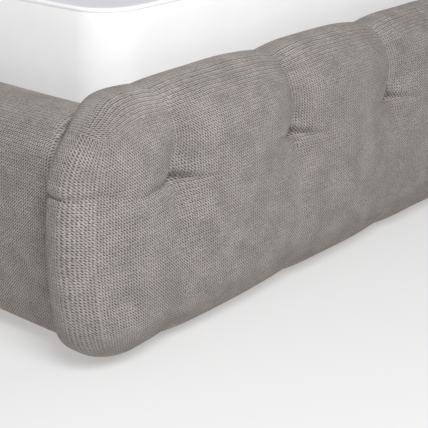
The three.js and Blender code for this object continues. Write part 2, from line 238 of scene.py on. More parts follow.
@dataclass(frozen=True)
class ChenilleFinish:
    """A chunky woven chenille: slanting yarn ends in two close tones, with a soft brushed pile.

    The cloth repeats every pitch along and every rise across, with two rows of yarn ends in each rise.
    Four waves make the weave, and each has how strongly it shows and where it starts, in radians.
    """

    name: str = "chenille_taupe"
    pitch: float = 4.4 * MM
    rise: float = 4.6 * MM
    light: Colour = (0.540, 0.493, 0.467)
    dark: Colour = (0.100, 0.086, 0.080)
    relief: float = 1.4 * MM
    rows: tuple[float, float] = (0.20, -2.70)
    slant: tuple[float, float] = (0.22, 2.44)
    warp: tuple[float, float] = (0.13, 0.0)
    weft: tuple[float, float] = (0.07, 0.0)
    fuzz: float = 0.40
    slub: float = 0.55

    def build(self) -> bpy.types.Material:
        """Makes the material."""
        g = Graph(self.name)
        cloth = g.nudged(g.cloth_coordinates(), 55.0, 2.0 * MM)
        cloth = g.nudged(cloth, 420.0, 1.3 * MM)
        along, across, _ = g.split(cloth)
        warp = g.math("MULTIPLY", along, 2.0 * math.pi / self.pitch)
        weft = g.math("MULTIPLY", across, 2.0 * math.pi / self.rise)
        knots = g.wave(g.math("MULTIPLY", weft, 2.0), *self.rows, 0.5)
        knots = g.wave(g.math("ADD", warp, weft), *self.slant, knots)
        knots = g.wave(warp, *self.warp, knots)
        knots = g.wave(weft, *self.weft, knots)
        fuzz = g.noise(cloth, 1500.0, 3.0, 0.6)
        slub = g.noise(g.scaled(cloth, (1.0, 0.6, 1.0)), 330.0, 1.0)
        height = g.math("MULTIPLY_ADD", fuzz, self.fuzz, knots)
        height = g.math("MULTIPLY_ADD", slub, self.slub, height)
        yarn = g.ranged(height, 0.45, 1.45)
        colour = g.mixed(yarn, self.dark, self.light)
        brushed = g.noise(g.nudged(cloth, 9.0, 0.05), 24.0, 4.0, 0.62)
        patches = g.ranged(brushed, 0.28, 0.74, 0.84, 1.12)
        colour = g.mixed(1.0, colour, g.grey(patches), "MULTIPLY")
        heather = g.noise(cloth, 190.0, 2.0)
        warm = g.mixed(g.ranged(heather, 0.35, 0.7), (1.0, 0.975, 0.96), (0.975, 1.0, 1.005))
        colour = g.mixed(1.0, colour, warm, "MULTIPLY")
        normal = g.bump(height, self.relief, 1.0)
        return g.finish(colour, 0.96, normal, Sheen_Weight=0.14, Sheen_Roughness=0.45,
                        Specular_IOR_Level=0.12)


@dataclass(frozen=True)
class TickingFinish:
    """A fine woven mattress cloth, whose glow is painted light that brightens the cloth beyond what the
    lamps give.
    """

    name: str
    colour: Colour
    glow: float = 0.0
    relief: float = 0.2 * MM
    turns: float = 2600.0

    def build(self) -> bpy.types.Material:
        """Makes the material."""
        g = Graph(self.name)
        cloth = g.nudged(g.cloth_coordinates(), 30.0, 4.0 * MM)
        along, across, _ = g.split(cloth)
        rib = g.math("SINE", g.math("MULTIPLY", g.math("ADD", along, across), self.turns))
        knit = g.math("SINE", g.math("MULTIPLY", g.math("SUBTRACT", along, across), self.turns))
        weave = g.math("MULTIPLY_ADD", g.math("MULTIPLY", rib, knit), 0.5, 0.5)
        soft = g.noise(cloth, 14.0, 3.0)
        shade = g.ranged(soft, 0.2, 0.8, 0.965, 1.0)
        hollow = tuple(0.97 * part for part in self.colour)
        colour = g.mixed(1.0, g.mixed(weave, hollow, self.colour), g.grey(shade), "MULTIPLY")
        height = g.math("MULTIPLY_ADD", g.noise(cloth, 900.0, 2.0), 0.5, weave)
        normal = g.bump(height, self.relief, 0.6)
        # The emission is painted light: it makes the cloth glow although it is no lamp.
        g.shader.inputs["Emission Color"].default_value = (1.0, 1.0, 1.0, 1.0)
        return g.finish(colour, 0.88, normal, Sheen_Weight=0.08, Specular_IOR_Level=0.2,
                        Emission_Strength=self.glow)


@dataclass(frozen=True)
class TimberFinish:
    """Planed softwood with growth lines along one axis and a few small knots."""

    name: str
    light: Colour
    dark: Colour
    along: Corner
    roughness: float = 0.62

    def build(self) -> bpy.types.Material:
        """Makes the material."""
        g = Graph(self.name)
        place = g.object_coordinates()
        stretched = g.scaled(g.nudged(place, 3.0, 0.03), self.along)
        rings = g.noise(stretched, 55.0, 4.0, 0.6)
        pores = g.noise(stretched, 420.0, 2.0, 0.7)
        knots = g.noise(place, 7.0, 1.0)
        share = g.math("MULTIPLY_ADD", g.ranged(rings, 0.32, 0.68), 0.75, g.math("MULTIPLY", pores, 0.25))
        colour = g.mixed(share, self.light, self.dark)
        colour = g.mixed(g.ranged(knots, 0.70, 0.78, 0.0, 0.55), colour, self.dark)
        normal = g.bump(share, 0.3 * MM, 0.5)
        rough = g.ranged(pores, 0.2, 0.8, self.roughness - 0.08, self.roughness + 0.08)
        return g.finish(colour, rough, normal, Specular_IOR_Level=0.35)


@dataclass(frozen=True)
class PlywoodFinish:
    """Birch ply: a flat-cut face with thin glue lines through its thickness."""

    name: str = "birch_ply"
    light: Colour = (0.56, 0.40, 0.23)
    dark: Colour = (0.36, 0.23, 0.12)
    ply: float = 1.5 * MM

    def build(self) -> bpy.types.Material:
        """Makes the material."""
        g = Graph(self.name)
        place = g.object_coordinates()
        figure = g.noise(g.scaled(g.nudged(place, 2.0, 0.08), (0.4, 0.4, 3.0)), 16.0, 4.0, 0.6)
        _, depth, _ = g.split(place)
        layers = g.math("SINE", g.math("MULTIPLY", depth, math.pi / self.ply))
        veneer = g.ranged(figure, 0.3, 0.7, 0.0, 0.8)
        share = g.math("MULTIPLY_ADD", g.ranged(layers, -0.2, 0.2), 0.2, veneer)
        normal = g.bump(figure, 0.3 * MM, 0.4)
        return g.finish(g.mixed(share, self.light, self.dark), 0.7, normal, Specular_IOR_Level=0.3)


@dataclass(frozen=True)
class MetalFinish:
    """Powder-coated or zinc-plated steel, with a fine grain and scattered scuffs."""

    name: str
    colour: Colour
    worn: Colour
    metallic: float
    roughness: float
    grain: float

    def build(self) -> bpy.types.Material:
        """Makes the material."""
        g = Graph(self.name)
        place = g.object_coordinates()
        speckle = g.noise(place, 2400.0, 2.0)
        scuffs = g.noise(g.scaled(place, (1.0, 1.0, 0.3)), 60.0, 5.0, 0.7)
        colour = g.mixed(g.ranged(scuffs, 0.58, 0.72, 0.0, 0.5), self.colour, self.worn)
        rough = g.ranged(scuffs, 0.3, 0.7, self.roughness - 0.07, self.roughness + 0.1)
        return g.finish(colour, rough, g.bump(speckle, self.grain, 0.5), Metallic=self.metallic)


@dataclass(frozen=True)
class PlasticFinish:
    """Moulded plastic with a spark-eroded surface."""

    name: str = "foot_plastic_black"
    colour: Colour = (0.018, 0.018, 0.020)

    def build(self) -> bpy.types.Material:
        """Makes the material."""
        g = Graph(self.name)
        place = g.object_coordinates()
        grain = g.noise(place, 1800.0, 3.0)
        dust = g.noise(place, 40.0, 4.0, 0.65)
        colour = g.mixed(g.ranged(dust, 0.5, 0.8, 0.0, 0.35), self.colour, (0.09, 0.088, 0.085))
        return g.finish(colour, g.ranged(dust, 0.3, 0.7, 0.45, 0.65), g.bump(grain, 0.15 * MM, 0.6))


@dataclass(frozen=True)
class WovenFinish:
    """A plain woven band or backing cloth, mapped on the object's own axes."""

    name: str
    colour: Colour
    pitch: float
    axes: tuple[int, int] = (0, 2)

    def build(self) -> bpy.types.Material:
        """Makes the material."""
        g = Graph(self.name)
        place = g.object_coordinates()
        parts = g.split(g.nudged(place, 80.0, 0.8 * MM))
        turns = math.pi / self.pitch
        first, second = (g.math("SINE", g.math("MULTIPLY", parts[axis], turns)) for axis in self.axes)
        weave = g.math("MULTIPLY_ADD", g.math("MULTIPLY", first, second), 0.5, 0.5)
        fibre = g.noise(place, 900.0, 3.0)
        shade = g.math("MULTIPLY_ADD", fibre, 0.6, g.math("MULTIPLY", weave, 0.6))
        dark = tuple(0.55 * part for part in self.colour)
        normal = g.bump(shade, 0.5 * MM, 0.7)
        return g.finish(g.mixed(g.ranged(shade, 0.2, 1.0), dark, self.colour), 0.92, normal)


@dataclass(frozen=True)
class StudioFinish:
    """A matt white studio floor that glows a little, so that it stays even and its shadows stay light."""

    name: str = "studio_floor"
    colour: Colour = (0.50, 0.50, 0.50)
    glow: float = 0.39

    def build(self) -> bpy.types.Material:
        """Makes the material."""
        g = Graph(self.name)
        g.shader.inputs["Emission Color"].default_value = (1.0, 1.0, 1.0, 1.0)
        return g.finish(self.colour, 0.9, None, Specular_IOR_Level=0.1, Emission_Strength=self.glow)


class Finishes:
    """Every finish of the bed, built once and looked up by name."""

    def __init__(self) -> None:
        """Builds the materials."""
        steel = MetalFinish("steel_powder_black", (0.022, 0.022, 0.024), (0.10, 0.10, 0.10), 0.35, 0.48,
                            0.12 * MM)
        zinc = MetalFinish("zinc_plate", (0.56, 0.57, 0.60), (0.42, 0.41, 0.38), 0.95, 0.32, 0.05 * MM)
        self.chenille = ChenilleFinish().build()
        # Both mattress cloths glow with painted light: the border more than the top, so the sides read
        # brighter than the lamps alone make them.
        self.border = TickingFinish("mattress_border_white", (0.72, 0.72, 0.73), glow=0.27).build()
        self.top = TickingFinish("mattress_top_lilac", (0.66, 0.65, 0.70), glow=0.10).build()
        light_pine, dark_pine, stretch = (0.66, 0.47, 0.27), (0.45, 0.27, 0.12), 0.06
        grains = {"x": (stretch, 1.0, 1.0), "y": (1.0, stretch, 1.0), "z": (1.0, 1.0, stretch)}
        self.pine = {axis: TimberFinish(f"pine_along_{axis}", light_pine, dark_pine, grain).build()
                     for axis, grain in grains.items()}
        self.slat = TimberFinish("slat_beech", (0.72, 0.54, 0.34), (0.52, 0.34, 0.17), (0.05, 1.0, 1.0),
                                 0.5).build()
        self.plywood = PlywoodFinish().build()
        self.steel = steel.build()
        self.zinc = zinc.build()
        self.plastic = PlasticFinish().build()
        self.webbing = WovenFinish("webbing_black", (0.05, 0.05, 0.053), 1.6 * MM, (0, 1)).build()
        self.lining = WovenFinish("lining_cloth", (0.085, 0.08, 0.075), 1.2 * MM).build()


# ---------------------------------------------------------------- meshes


@dataclass
class Patch:
    """A grid of points on a piece's surface, with each point's place along its cloth."""

    points: np.ndarray
    cloth: np.ndarray


def mesh_object(name: str, patches: list[Patch], material: bpy.types.Material) -> bpy.types.Object:
    """Joins patches into one mesh that shares the points on their borders.

    Args:
        name: The object's name.
        patches: The grids, whose borders meet point for point.
        material: The finish.

    Returns:
        The new object, smooth shaded, with its cloth coordinates in the "cloth" map.
    """
    points = np.concatenate([patch.points.reshape(-1, 3) for patch in patches])
    cloth = np.concatenate([patch.cloth.reshape(-1, 2) for patch in patches])
    _, first, shared = np.unique(np.round(points, 6), axis=0, return_index=True, return_inverse=True)
    shared = shared.reshape(-1)
    faces, corners = [], []
    offset = 0
    for patch in patches:
        rows, columns = patch.points.shape[:2]
        index = offset + np.arange(rows * columns).reshape(rows, columns)
        quads = np.stack([index[:-1, :-1], index[:-1, 1:], index[1:, 1:], index[1:, :-1]], axis=-1)
        for quad in quads.reshape(-1, 4):
            kept = [c for i, c in enumerate(quad) if shared[c] != shared[quad[i - 1]]]
            if len(kept) > 2:
                faces.append([int(shared[c]) for c in kept])
                corners.extend(kept)
        offset += rows * columns
    mesh = bpy.data.meshes.new(name)
    mesh.from_pydata(points[first].tolist(), [], faces)
    mesh.uv_layers.new(name="cloth").data.foreach_set("uv", cloth[corners].astype(np.float32).ravel())
    obj = bpy.data.objects.new(name, mesh)
    bpy.context.scene.collection.objects.link(obj)
    work = bmesh.new()
    work.from_mesh(mesh)
    bmesh.ops.recalc_face_normals(work, faces=work.faces)
    work.to_mesh(mesh)
    work.free()
    mesh.materials.append(material)
    mesh.shade_smooth()
    return obj


def get_points(obj: bpy.types.Object) -> np.ndarray:
    """Gives an object's points as an array."""
    flat = np.empty(len(obj.data.vertices) * 3, np.float32)
    obj.data.vertices.foreach_get("co", flat)
    return flat.reshape(-1, 3).astype(float)


def set_points(obj: bpy.types.Object, points: np.ndarray) -> None:
    """Writes an object's points."""
    obj.data.vertices.foreach_set("co", points.astype(np.float32).ravel())
    obj.data.update()


def get_normals(obj: bpy.types.Object) -> np.ndarray:
    """Gives an object's point normals as an array."""
    flat = np.empty(len(obj.data.vertices) * 3, np.float32)
    obj.data.vertex_normals.foreach_get("vector", flat)
    return flat.reshape(-1, 3).astype(float)


def apply_modifiers(obj: bpy.types.Object) -> None:
    """Replaces an object's mesh by what its modifiers make of it."""
    graph = bpy.context.evaluated_depsgraph_get()
    made = bpy.data.meshes.new_from_object(obj.evaluated_get(graph), depsgraph=graph)
    made.name = obj.name
    obj.modifiers.clear()
    obj.data = made


def subdivided(obj: bpy.types.Object, levels: int) -> None:
    """Subdivides an object smoothly, and applies it."""
    modifier = obj.modifiers.new("fine", "SUBSURF")
    modifier.levels = levels
    modifier.render_levels = levels
    apply_modifiers(obj)


def carved(obj: bpy.types.Object, *boxes: tuple[Corner, Corner]) -> None:
    """Cuts boxes out of an object."""
    for low, high in boxes:
        size = Vector(high) - Vector(low)
        mesh = bpy.data.meshes.new("cutter")
        work = bmesh.new()
        place = Matrix.Translation((Vector(low) + Vector(high)) / 2) @ Matrix.Diagonal((*size, 1.0))
        bmesh.ops.create_cube(work, size=1.0, matrix=place)
        work.to_mesh(mesh)
        work.free()
        cutter = bpy.data.objects.new("cutter", mesh)
        bpy.context.scene.collection.objects.link(cutter)
        modifier = obj.modifiers.new("carve", "BOOLEAN")
        modifier.operation = "DIFFERENCE"
        modifier.solver = "MANIFOLD"
        modifier.object = cutter
        apply_modifiers(obj)
        bpy.data.objects.remove(cutter)
        bpy.data.meshes.remove(mesh)


def ripples(points: np.ndarray, wavelength: float, seed: int) -> np.ndarray:
    """A smooth, even, repeatable unevenness from -1 to 1 over space.

    Args:
        points: Points, in metres.
        wavelength: About how far apart two crests are.
        seed: Chooses the pattern.

    Returns:
        One value per point.
    """
    chance = np.random.default_rng(seed)
    total = np.zeros(len(points))
    waves = 9
    usual_crest = 1.6
    for _ in range(waves):
        direction = chance.normal(size=3)
        direction *= 2 * math.pi / wavelength / np.linalg.norm(direction) * chance.uniform(0.7, 1.4)
        total += np.sin(points @ direction + chance.uniform(0, 2 * math.pi))
    return total / math.sqrt(waves) / usual_crest


def hill(distance: np.ndarray, width: float) -> np.ndarray:
    """A bell curve: 1 at distance 0, and near 0 beyond twice the width."""
    return np.exp(-((distance / width) ** 2))


def bend(turn: np.ndarray, along: object, across: object) -> np.ndarray:
    """Measures along a quarter ellipse from its flat end.

    Args:
        turn: How far the direction from the ellipse's centre has turned, in radians.
        along: The ellipse's half width along the flat it starts from.
        across: Its half width across that flat.

    Returns:
        The arc lengths, with the turns' signs.
    """
    steps = np.linspace(0, math.pi / 2, 49)
    speed = np.hypot(along * np.cos(steps), across * np.sin(steps))
    run = np.concatenate([[0], np.cumsum((speed[1:] + speed[:-1]) / 2 * np.diff(steps))])
    return np.sign(turn) * np.interp(np.abs(turn), steps, run)


def eased_step(value: np.ndarray, start: float, stop: float) -> np.ndarray:
    """Rises smoothly from 0 to 1 between two values."""
    share = np.clip((value - start) / (stop - start), 0, 1)
    return share * share * (3 - 2 * share)


def looked_up(value: np.ndarray, table: Table) -> np.ndarray:
    """Reads between the rows of a table of (place, amount) pairs in millimetres, and gives metres."""
    places, amounts = np.array(table).T * MM
    return np.interp(value, places, amounts)


@dataclass
class RoundedBlock:
    """A block with its edges and corners rounded to ellipses, as six patches that meet.

    The rounding reaches in from each of the six sides by its own amount.
    """

    low: np.ndarray
    high: np.ndarray
    reach_low: np.ndarray
    reach_high: np.ndarray
    step: float

    def lines(self) -> tuple[np.ndarray, np.ndarray]:
        """Gives the box left inside the rounding."""
        return self.low + self.reach_low, self.high - self.reach_high

    def axis(self, index: int) -> tuple[np.ndarray, np.ndarray]:
        """Samples one axis of a face.

        Args:
            index: 0, 1 or 2 for x, y or z.

        Returns:
            The places on the flat part, and the turn of the direction beyond it, in radians.
        """
        start, stop = (line[index] for line in self.lines())
        before = max(2, round(self.reach_low[index] * math.pi / 4 / self.step))
        after = max(2, round(self.reach_high[index] * math.pi / 4 / self.step))
        flat = np.linspace(start, stop, max(1, round((stop - start) / self.step)) + 1)
        places = np.concatenate([np.full(before, start), flat, np.full(after, stop)])
        angles = np.concatenate([-np.linspace(math.pi / 4, 0, before + 1)[:-1], np.zeros(len(flat)),
                                 np.linspace(0, math.pi / 4, after + 1)[1:]])
        return places, angles

    def patches(self) -> list[Patch]:
        """Makes the six faces."""
        return [self.face(index, side) for index in range(3) for side in (-1, 1)]

    def face(self, index: int, side: int) -> Patch:
        """Makes one face and half of the rounding round it.

        Args:
            index: 0, 1 or 2 for a face across x, y or z.
            side: -1 for the low face, 1 for the high one.

        Returns:
            The face's grid.
        """
        low, high = self.lines()
        first, second = (i for i in range(3) if i != index)
        (places_a, angles_a), (places_b, angles_b) = self.axis(first), self.axis(second)
        a, b = np.meshgrid(places_a, places_b, indexing="ij")
        turn_a, turn_b = np.meshgrid(angles_a, angles_b, indexing="ij")
        direction = np.zeros((*a.shape, 3))
        direction[..., index] = side
        direction[..., first] = np.tan(turn_a)
        direction[..., second] = np.tan(turn_b)
        direction /= np.linalg.norm(direction, axis=-1, keepdims=True)
        middle = np.zeros_like(direction)
        middle[..., index] = low[index] if side < 0 else high[index]
        middle[..., first] = a
        middle[..., second] = b
        points = middle + direction * np.where(direction < 0, self.reach_low, self.reach_high)
        deep = (self.reach_low if side < 0 else self.reach_high)[index]
        arc_a = a + bend(turn_a, self.reach_high[first], deep)
        arc_b = b + bend(turn_b, self.reach_high[second], deep)
        return Patch(points, self.cloth_place(index, side, arc_a, arc_b))

    def cloth_place(self, index: int, side: int, arc_a: np.ndarray, arc_b: np.ndarray) -> np.ndarray:
        """Gives places along the cloth, which runs on round the edges from the front face."""
        low, high = self.lines()
        quarter = math.pi / 2
        if index == 0:
            round_end = bend(quarter, self.reach_high[0], self.reach_low[1])
            return np.stack([side * (high[0] + round_end + arc_a - low[1]), arc_b], axis=-1)
        if index == 1:
            return np.stack([arc_a, arc_b], axis=-1)
        over = bend(quarter, self.reach_high[2], self.reach_low[1]) + arc_b - low[1]
        return np.stack([arc_a, (high[2] if side > 0 else low[2]) + side * over], axis=-1)

    def facing(self, points: np.ndarray) -> np.ndarray:
        """Gives the outward normals at points of the block's surface."""
        past = points - np.clip(points, *self.lines())
        slope = past / np.where(past < 0, self.reach_low, self.reach_high) ** 2
        return slope / np.maximum(np.linalg.norm(slope, axis=1, keepdims=True), TINY)

    def section_arc(self, points: np.ndarray) -> np.ndarray:
        """Measures up the front face, over the top and down the back.

        Args:
            points: Points of the block's surface.

        Returns:
            Arc lengths in metres, equal to the height on the flat of the front face.
        """
        low, high = self.lines()
        clipped = np.clip(points, low, high)
        past = (points - clipped) / np.where(points < clipped, self.reach_low, self.reach_high)
        turn = np.arctan2(past[:, 2], -past[:, 1])
        behind = clipped[:, 1] - low[1]
        front_top = bend(np.clip(turn, 0, math.pi / 2), self.reach_high[2], self.reach_low[1])
        front_low = bend(np.clip(turn, -math.pi / 2, 0), self.reach_low[2], self.reach_low[1])
        back_top = bend(np.clip(turn - math.pi / 2, 0, math.pi / 2), self.reach_high[1], self.reach_high[2])
        over = turn > math.pi / 2
        rise = np.where(over, 2 * high[2] - clipped[:, 2], clipped[:, 2])
        return rise + front_top + front_low + back_top + np.where(turn < 0, -behind, behind)


def hold(obj: bpy.types.Object, held: np.ndarray) -> None:
    """Stores how firmly each point is held, from 0 to 1, in the "held" group."""
    group = obj.vertex_groups.new(name="held")
    for level in np.unique(np.round(held, 1)):
        members = np.flatnonzero(np.round(held, 1) == level)
        group.add(members.tolist(), float(level), "REPLACE")


def make_cloth(obj: bpy.types.Object, pressure: float, last_frame: int) -> None:
    """Makes an object a stretchy padded cloth with that pressure inside."""
    modifier = obj.modifiers.new("relax", "CLOTH")
    cloth = modifier.settings
    cloth.quality = 6
    cloth.mass = 0.35
    cloth.tension_stiffness = 12.0
    cloth.compression_stiffness = 12.0
    cloth.shear_stiffness = 6.0
    cloth.bending_stiffness = 0.6
    cloth.air_damping = 3.0
    cloth.vertex_group_mass = "held"
    cloth.pin_stiffness = 1.0
    cloth.use_pressure = True
    cloth.uniform_pressure_force = pressure
    cloth.effector_weights.gravity = 0.0
    modifier.collision_settings.use_collision = False
    modifier.point_cache.frame_start = 1
    modifier.point_cache.frame_end = last_frame


def relaxed(obj: bpy.types.Object, held: np.ndarray, pressure: float, cap: float) -> None:
    """Blows a padded piece up as cloth with some of its points held, and keeps the shape.

    Args:
        obj: The piece.
        held: How firmly each point is held, from 0 to 1.
        pressure: The pressure inside.
        cap: The furthest that a point can move, in metres.
    """
    last_frame = 20
    start = get_points(obj)
    hold(obj, held)
    make_cloth(obj, pressure, last_frame)
    scene = bpy.context.scene
    for number in range(1, last_frame + 1):
        scene.frame_set(number)
    graph = bpy.context.evaluated_depsgraph_get()
    settled = obj.evaluated_get(graph).to_mesh()
    flat = np.empty(len(settled.vertices) * 3, np.float32)
    settled.vertices.foreach_get("co", flat)
    obj.modifiers.clear()
    obj.vertex_groups.clear()
    scene.frame_set(1)
    move = flat.reshape(-1, 3) - start
    length = np.maximum(np.linalg.norm(move, axis=1, keepdims=True), TINY)
    set_points(obj, start + move / length * cap * np.tanh(length / cap))


def keep_places(obj: bpy.types.Object, places: np.ndarray) -> None:
    """Stores each point's place on the plain block, so that it survives subdivision."""
    layer = obj.data.attributes.new("place", "FLOAT_VECTOR", "POINT")
    layer.data.foreach_set("vector", places.astype(np.float32).ravel())


def take_places(obj: bpy.types.Object) -> np.ndarray:
    """Reads the stored places and drops them."""
    layer = obj.data.attributes["place"]
    flat = np.empty(len(obj.data.vertices) * 3, np.float32)
    layer.data.foreach_get("vector", flat)
    obj.data.attributes.remove(layer)
    return flat.reshape(-1, 3).astype(float)


# ---------------------------------------------------------------- padded panels


@dataclass(frozen=True)
class Tuft:
    """A blind tuft: a pit, a deep short fold to its right and a shallow long one to its left."""

    pit: float = 8 * MM
    pit_width: float = 8 * MM
    fold: float = 13 * MM
    fold_length: float = 80 * MM
    fold_width: float = 4.5 * MM
    fold_slope: float = 0.15
    crease: float = 4.2 * MM
    crease_length: float = 95 * MM
    crease_width: float = 5 * MM
    crease_slope: float = 0.02

    def heights(self, beside: np.ndarray, above: np.ndarray) -> np.ndarray:
        """Shapes the cloth round the tuft.

        Args:
            beside: Distances to the right of the tuft.
            above: Distances above it.

        Returns:
            Heights along the outward normal, in metres.
        """
        pit = -self.pit * np.exp(-np.hypot(beside, above) / self.pit_width)
        bead = 4.5 * MM * hill(np.hypot(beside + 7 * MM, above + 19 * MM), 9 * MM)
        return pit + bead + self.right_fold(beside, above) + self.left_crease(beside, above)

    def right_fold(self, beside: np.ndarray, above: np.ndarray) -> np.ndarray:
        """Shapes the deep fold, with the cloth hanging over it and a lip below."""
        share = np.clip(1 - beside / self.fold_length, 0, 1) ** 0.8 * (beside > 0)
        off = above + self.fold_slope * beside
        groove = -self.fold * np.exp(-np.abs(off) / self.fold_width)
        overhang = 6 * MM * hill(off - 13 * MM, 10 * MM)
        lip = 2 * MM * hill(off + 11 * MM, 7 * MM)
        return share * (groove + overhang + lip)

    def left_crease(self, beside: np.ndarray, above: np.ndarray) -> np.ndarray:
        """Shapes the shallow crease, with a brow over it."""
        share = np.clip(1 + beside / self.crease_length, 0, 1) * (beside <= 0)
        off = above - self.crease_slope * beside
        groove = -self.crease * np.exp(-np.abs(off) / self.crease_width)
        brow = 1.8 * MM * hill(off - 12 * MM, 8 * MM)
        return share * (groove + brow)


@dataclass
class TuftedPanel:
    """A thick padded panel with blind tufts, soft channels through them, and rounded ends."""

    name: str
    node: str
    rows: tuple[float, ...]
    pocket_depth: float
    pocket_top: float
    channel: Table
    seed: int
    reach_low: Corner = (105 * MM, 74 * MM, 66 * MM)
    reach_high: Corner = (105 * MM, 27 * MM, 92 * MM)
    door: bool = False
    drop: float = 12 * MM
    crown: float = -1 * MM
    step: float = 12 * MM
    levels: int = 2
    tuft_spacing: float = 262 * MM
    end_tuft_shift: float = 5 * MM
    end_lean: float = 0.06
    end_drop: float = 17 * MM
    end_taper: float = 0.0
    frame_half_width: float = 905.3 * MM
    fill: float = 0.75
    pressure: float = 4.0
    give: float = 8 * MM
    end_insets: Table = ((0, 16), (40, 10), (110, 1), (175, -2), (230, 1), (290, 8), (330, 17), (380, 30))
    crease_heights: Table = ((0, 245), (60, 245), (82, 243), (112, 248), (160, 261), (250, 257))
    crease_depths: Table = ((0, 3.4), (40, 2.6), (140, 2.2), (200, 2.8), (232, 5), (260, 6.5))
    tuft: Tuft = Tuft()
    block: RoundedBlock = field(init=False)

    def __post_init__(self) -> None:
        """Takes the panel's box from the frame."""
        low, high = (np.array(corner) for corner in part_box(self.node))
        low[2] -= self.drop
        high[2] += self.crown
        self.block = RoundedBlock(low, high, np.array(self.reach_low), np.array(self.reach_high), self.step)

    @property
    def single_row(self) -> bool:
        """Tells a low panel, whose ends are given their own shape, from a tall one."""
        return len(self.rows) == 1

    def from_columns(self, x: np.ndarray, arc: np.ndarray) -> np.ndarray:
        """Measures across from the nearest column of tufts; the end columns stand out and lean inward.

        Args:
            x: Distances from the middle of the bed.
            arc: Places up the section.

        Returns:
            Distances, positive away from the middle of the bed's left end.
        """
        columns = self.tuft_spacing * np.arange(-3, 4)
        places = np.repeat(columns[None, :], len(x), axis=0)
        lean = self.end_lean * np.clip(arc - self.rows[-1], -0.3, 0.0) - self.end_tuft_shift
        places[:, 0] += lean
        places[:, -1] -= lean
        gaps = x[:, None] - places
        return gaps[np.arange(len(x)), np.abs(gaps).argmin(axis=1)]

    def hollows(self, places: np.ndarray) -> np.ndarray:
        """Works out how far the tufts and channels pull each point in.

        Args:
            places: Points of the plain block.

        Returns:
            Depths along the inward normal, in metres.
        """
        arc = self.block.section_arc(places)
        wander = 4 * MM * ripples(places, 0.31, self.seed)
        aside = np.abs(self.from_columns(places[:, 0] + wander, arc))
        depth = looked_up(arc, self.channel)
        if self.single_row:
            end_column = np.abs(places[:, 0]) > 2.5 * self.tuft_spacing
            depth *= 1 - 0.5 * end_column * eased_step(arc, self.rows[0] + 20 * MM, self.rows[0] + 90 * MM)
        total = depth * (0.60 * np.exp(-aside / (20 * MM)) + 0.40 * hill(aside, 60 * MM))
        beside = self.from_columns(places[:, 0], arc)
        for row in self.rows:
            total += 6 * MM * hill(np.hypot(beside, arc - row), 30 * MM)
        return total

    def creases(self, places: np.ndarray) -> np.ndarray:
        """Works out the sharp folds at the tufts, too fine for the cloth's relaxing.

        Args:
            places: Points of the plain block.

        Returns:
            Heights along the outward normal, in metres.
        """
        arc = self.block.section_arc(places)
        beside = self.from_columns(places[:, 0], arc)
        total = np.zeros(len(places))
        upright = hill(beside - 3 * MM * ripples(places, 0.16, self.seed + 3), 5 * MM)
        total -= 0.10 * looked_up(arc, self.channel) * upright
        for row in self.rows:
            total += self.tuft.heights(beside, arc - row)
        return total

    def end_creases(self, places: np.ndarray) -> np.ndarray:
        """Shapes the long crease from the end tuft round the panel's end, for a single row of tufts."""
        if not self.single_row:
            return np.zeros(len(places))
        low = self.block.low
        tuft_x = 3 * self.tuft_spacing + self.end_tuft_shift
        run = np.abs(places[:, 0]) - tuft_x + places[:, 1] - low[1]
        outside = np.clip((np.abs(places[:, 0]) - tuft_x) / (20 * MM), 0, 1)
        depth = looked_up(run, self.crease_depths)
        off = places[:, 2] - looked_up(run, self.crease_heights)
        crease = -depth * np.exp(-np.abs(off) / (3.4 * MM)) + 1.2 * MM * hill(off - 12 * MM, 8 * MM)
        return crease * outside

    def barrelled(self, points: np.ndarray, places: np.ndarray) -> np.ndarray:
        """Draws the ends in above and below the middle of their height."""
        if not self.single_row:
            return points
        share = eased_step(np.abs(places[:, 0]), 0.83, 0.95)
        moved = points.copy()
        behind = (places[:, 1] - self.block.low[1]) / (self.block.high[1] - self.block.low[1])
        moved[:, 1] -= self.tapered(places[:, 0]) * behind
        moved[:, 0] -= np.sign(places[:, 0]) * share * looked_up(places[:, 2], self.end_insets)
        moved[:, 2] -= share * self.end_drop * np.clip((places[:, 2] - 0.25) / 0.12, 0, 1)
        return moved

    def tapered(self, x: np.ndarray) -> np.ndarray:
        """Gives how much thinner the panel is toward its ends."""
        return self.end_taper * eased_step(np.abs(x), 0.87, 0.97)

    def build(self, finishes: Finishes) -> bpy.types.Object:
        """Makes the panel.

        Args:
            finishes: The bed's finishes.

        Returns:
            The finished piece.
        """
        obj = mesh_object(self.name, self.block.patches(), finishes.chenille)
        places = get_points(obj)
        facing = self.block.facing(places)
        sunk = self.hollows(places)
        uneven = 1.6 * MM * ripples(places, 0.17, self.seed + 1)
        start = self.barrelled(places - facing * (sunk + 2.2 * MM - uneven)[:, None], places)
        set_points(obj, start)
        keep_places(obj, places)
        relaxed(obj, self.held(places, sunk), self.pressure, self.give)
        subdivided(obj, self.levels)
        places = take_places(obj)
        height = self.creases(places) + self.end_creases(places)
        set_points(obj, get_points(obj) + get_normals(obj) * height[:, None])
        self.carve_frame_room(obj)
        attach(obj, Body.BEDSTEAD.value)
        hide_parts(self.node)
        return obj

    def held(self, places: np.ndarray, sunk: np.ndarray) -> np.ndarray:
        """Holds the tufts and channels, the underside, and the back where the cover is stapled down."""
        arc = self.block.section_arc(places)
        beside = np.abs(self.from_columns(places[:, 0], arc))
        firm = 0.9 * hill(beside, 14 * MM) * np.clip(sunk / (12 * MM), 0, 1)
        back = places[:, 1] > self.block.high[1] - 22 * MM
        under = places[:, 2] < self.block.low[2] + 14 * MM
        return np.where(back | under, 1.0, firm)

